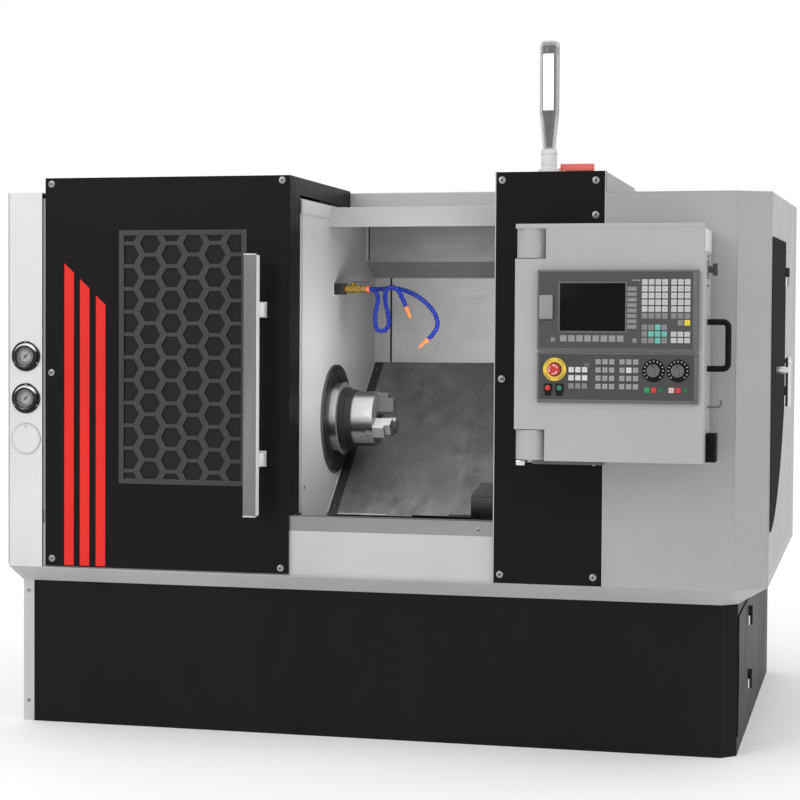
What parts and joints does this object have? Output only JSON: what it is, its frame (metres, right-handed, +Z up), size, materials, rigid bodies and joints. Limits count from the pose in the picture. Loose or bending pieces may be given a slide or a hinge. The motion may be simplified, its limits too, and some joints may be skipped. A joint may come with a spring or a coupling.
{
  "type": "cnc turning lathe",
  "caption": "Slant-bed turning lathe in a sheet-metal casing with a sliding windowed door, a three-jaw chuck, a tool turret and a swivelling control pendant.",
  "frame": {"origin": "on the floor, under the middle of the casing", "axes": "+X from the headstock end to the right-hand end, +Y from the operator to the back, +Z up"},
  "size_m": [2.2237, 1.8423, 1.953],
  "materials": {
    "black_paint": "satin powder coat, fine orange peel",
    "side_door_black": "dark gloss pane in a black frame",
    "light_paint": "satin powder coat",
    "pendant_paint": "fine satin powder coat",
    "liner_steel": "plain rolled sheet",
    "way_steel": "dark streaked sheet",
    "grille_paint": "satin dark grey",
    "smoked_pane": "smoked pane",
    "handle_metal": "brushed",
    "chrome": "polished",
    "spindle_steel": "ground",
    "seal_steel": "dark oiled",
    "machine_casting": "painted casting, machined ways",
    "turret_steel": "ground",
    "motor_paint": "satin",
    "belt_rubber": "matt",
    "gauge_metal": "bezel round a printed dial",
    "needle_metal": "black lacquer",
    "valve_brass": "machined",
    "lever_dark": "dipped lever",
    "lever_red": "red dipped lever",
    "hose_blue": "moulded acetal",
    "nozzle_orange": "moulded acetal",
    "lamp_metal": "turned",
    "lamp_clear": "clear tube",
    "panel_grey": "moulded panel",
    "estop_red": "moulded",
    "start_green": "moulded",
    "knob_black": "moulded",
    "handle_black": "moulded"
  },
  "bodies": {
    "machine": {"base_cabinet": "black_paint", "casing_floor": "light_paint", "left_end_cover": "light_paint", "pressure_gauges": "gauge_metal", "headstock_cover": "light_paint", "sill_rail": "liner_steel", "fascia_panel": "black_paint", "roof_box": "light_paint", "right_cover": "light_paint", "rear_cabinet": "light_paint", "roof_beam": "light_paint", "spindle_wall": "light_paint", "back_wall": "liner_steel", "chip_trough": "way_steel", "way_cover_fixed": "way_steel", "bed_casting": "machine_casting", "headstock_casting": "machine_casting", "seal_plate": "seal_steel", "spindle_motor": "motor_paint", "drive_belt": "belt_rubber", "coolant_valve": "valve_brass", "coolant_hose_1": "hose_blue", "coolant_hose_2": "hose_blue", "nozzle_1": "nozzle_orange", "nozzle_2": "nozzle_orange", "lamp_base": "lamp_metal", "lamp_tube": "lamp_clear", "roof_valve": "valve_brass", "pendant_mount": "pendant_paint"},
    "door": {"door_panel": "black_paint", "door_grille": "grille_paint", "door_window": "smoked_pane", "door_handle": "handle_metal"},
    "pendant": {"pendant_box": "pendant_paint", "display_unit": "panel_grey", "switch_panel": "panel_grey", "pendant_handle": "handle_black"},
    "estop_button": {"estop_button": "estop_red"},
    "stop_button": {"stop_button": "estop_red"},
    "start_button": {"start_button": "start_green"},
    "feed_knob": {"feed_knob": "knob_black"},
    "speed_knob": {"speed_knob": "knob_black"},
    "pendant_latch": {"pendant_latch": "chrome"},
    "coolant_valve_lever": {"coolant_valve_lever": "lever_dark"},
    "roof_valve_lever": {"roof_valve_lever": "lever_red"},
    "side_door": {"side_door": "side_door_black"},
    "side_lever": {"side_lever": "chrome"},
    "base_door": {"base_door": "black_paint"},
    "needle_upper": {"needle_upper": "needle_metal"},
    "needle_lower": {"needle_lower": "needle_metal"},
    "spindle": {"spindle": "spindle_steel", "chuck_body": "chrome"},
    "jaw_1": {"jaw_1": "chrome"},
    "jaw_2": {"jaw_2": "chrome"},
    "jaw_3": {"jaw_3": "chrome"},
    "motor_pulley": {"motor_pulley": "turret_steel"},
    "carriage": {"carriage": "machine_casting"},
    "way_cover_mid": {"way_cover_mid": "way_steel"},
    "cross_slide": {"cross_slide": "machine_casting"},
    "turret_disc": {"turret_disc": "turret_steel"}
  },
  "joints": [
    {"name": "door_slide", "type": "slide", "parent": "machine", "child": "door", "axis": [1, 0, 0], "range_m": [0, 0.58]},
    {"name": "pendant_swivel", "type": "hinge", "parent": "machine", "child": "pendant", "pos_m": [0.481, -0.965, 1.12], "axis": [0, 0, 1], "range_deg": [-90, 0]},
    {"name": "estop_push", "type": "slide", "parent": "pendant", "child": "estop_button", "axis": [0, 1, 0], "range_m": [0, 0.004]},
    {"name": "stop_push", "type": "slide", "parent": "pendant", "child": "stop_button", "axis": [0, 1, 0], "range_m": [0, 0.002], "stiffness_N_per_m": 600},
    {"name": "start_push", "type": "slide", "parent": "pendant", "child": "start_button", "axis": [0, 1, 0], "range_m": [0, 0.002], "stiffness_N_per_m": 600},
    {"name": "feed_turn", "type": "hinge", "parent": "pendant", "child": "feed_knob", "pos_m": [0.8082, -1.015, 1.053], "axis": [0, -1, 0], "range_deg": [-135, 135]},
    {"name": "speed_turn", "type": "hinge", "parent": "pendant", "child": "speed_knob", "pos_m": [0.8707, -1.015, 1.053], "axis": [0, -1, 0], "range_deg": [-135, 135]},
    {"name": "latch_turn", "type": "hinge", "parent": "pendant", "child": "pendant_latch", "pos_m": [0.936, -0.91, 1.317], "axis": [1, 0, 0], "range_deg": [0, 90]},
    {"name": "coolant_valve_turn", "type": "hinge", "parent": "machine", "child": "coolant_valve_lever", "pos_m": [-0.1785, -0.327, 1.3], "axis": [0, 0, 1], "range_deg": [-90, 0]},
    {"name": "roof_valve_turn", "type": "hinge", "parent": "machine", "child": "roof_valve_lever", "pos_m": [0.516, -0.672, 1.6], "axis": [0, 0, 1], "range_deg": [0, 90]},
    {"name": "side_door_hinge", "type": "hinge", "parent": "machine", "child": "side_door", "pos_m": [1.096, 0.02, 1], "axis": [0, 0, 1], "range_deg": [0, 100]},
    {"name": "side_lever_turn", "type": "hinge", "parent": "side_door", "child": "side_lever", "pos_m": [1.09, -0.495, 1.05], "axis": [1, 0, 0], "range_deg": [0, 90]},
    {"name": "base_door_hinge", "type": "hinge", "parent": "machine", "child": "base_door", "pos_m": [1.017, -0.296, 0.2], "axis": [0, 0, 1], "range_deg": [0, 110]},
    {"name": "needle_upper_turn", "type": "hinge", "parent": "machine", "child": "needle_upper", "pos_m": [-1.032, -0.805, 1.074], "axis": [0, -1, 0], "range_deg": [-90, 180]},
    {"name": "needle_lower_turn", "type": "hinge", "parent": "machine", "child": "needle_lower", "pos_m": [-1.032, -0.805, 0.952], "axis": [0, -1, 0], "range_deg": [-90, 180]},
    {"name": "spindle_spin", "type": "hinge", "parent": "machine", "child": "spindle", "pos_m": [-0.5, -0.319, 0.888], "axis": [1, 0, 0], "continuous": true},
    {"name": "jaw_1_slide", "type": "slide", "parent": "spindle", "child": "jaw_1", "axis": [0, 0, 1], "range_m": [0, 0.00275]},
    {"name": "jaw_2_slide", "type": "slide", "parent": "spindle", "child": "jaw_2", "axis": [0, -0.866, -0.5], "range_m": [0, 0.00275]},
    {"name": "jaw_3_slide", "type": "slide", "parent": "spindle", "child": "jaw_3", "axis": [0, 0.866, -0.5], "range_m": [0, 0.00275]},
    {"name": "motor_spin", "type": "hinge", "parent": "machine", "child": "motor_pulley", "pos_m": [-0.85, 0, 1.205], "axis": [1, 0, 0], "continuous": true},
    {"name": "carriage_slide", "type": "slide", "parent": "machine", "child": "carriage", "axis": [1, 0, 0], "range_m": [-0.36, 0.12]},
    {"name": "cover_slide", "type": "slide", "parent": "machine", "child": "way_cover_mid", "axis": [1, 0, 0], "range_m": [-0.18, 0.06]},
    {"name": "cross_slide_move", "type": "slide", "parent": "carriage", "child": "cross_slide", "axis": [0, 0.7834, 0.6215], "range_m": [-0.1, 0.06]},
    {"name": "turret_index", "type": "hinge", "parent": "cross_slide", "child": "turret_disc", "pos_m": [0.45, -0.11969, 1.04612], "axis": [1, 0, 0], "continuous": true}
  ],
  "couplings": [
    {"joint": "jaw_2_slide", "follows": "jaw_1_slide", "ratio": 1},
    {"joint": "jaw_3_slide", "follows": "jaw_1_slide", "ratio": 1},
    {"joint": "cover_slide", "follows": "carriage_slide", "ratio": 0.5},
    {"joint": "motor_spin", "follows": "spindle_spin", "ratio": 1.3556}
  ]
}
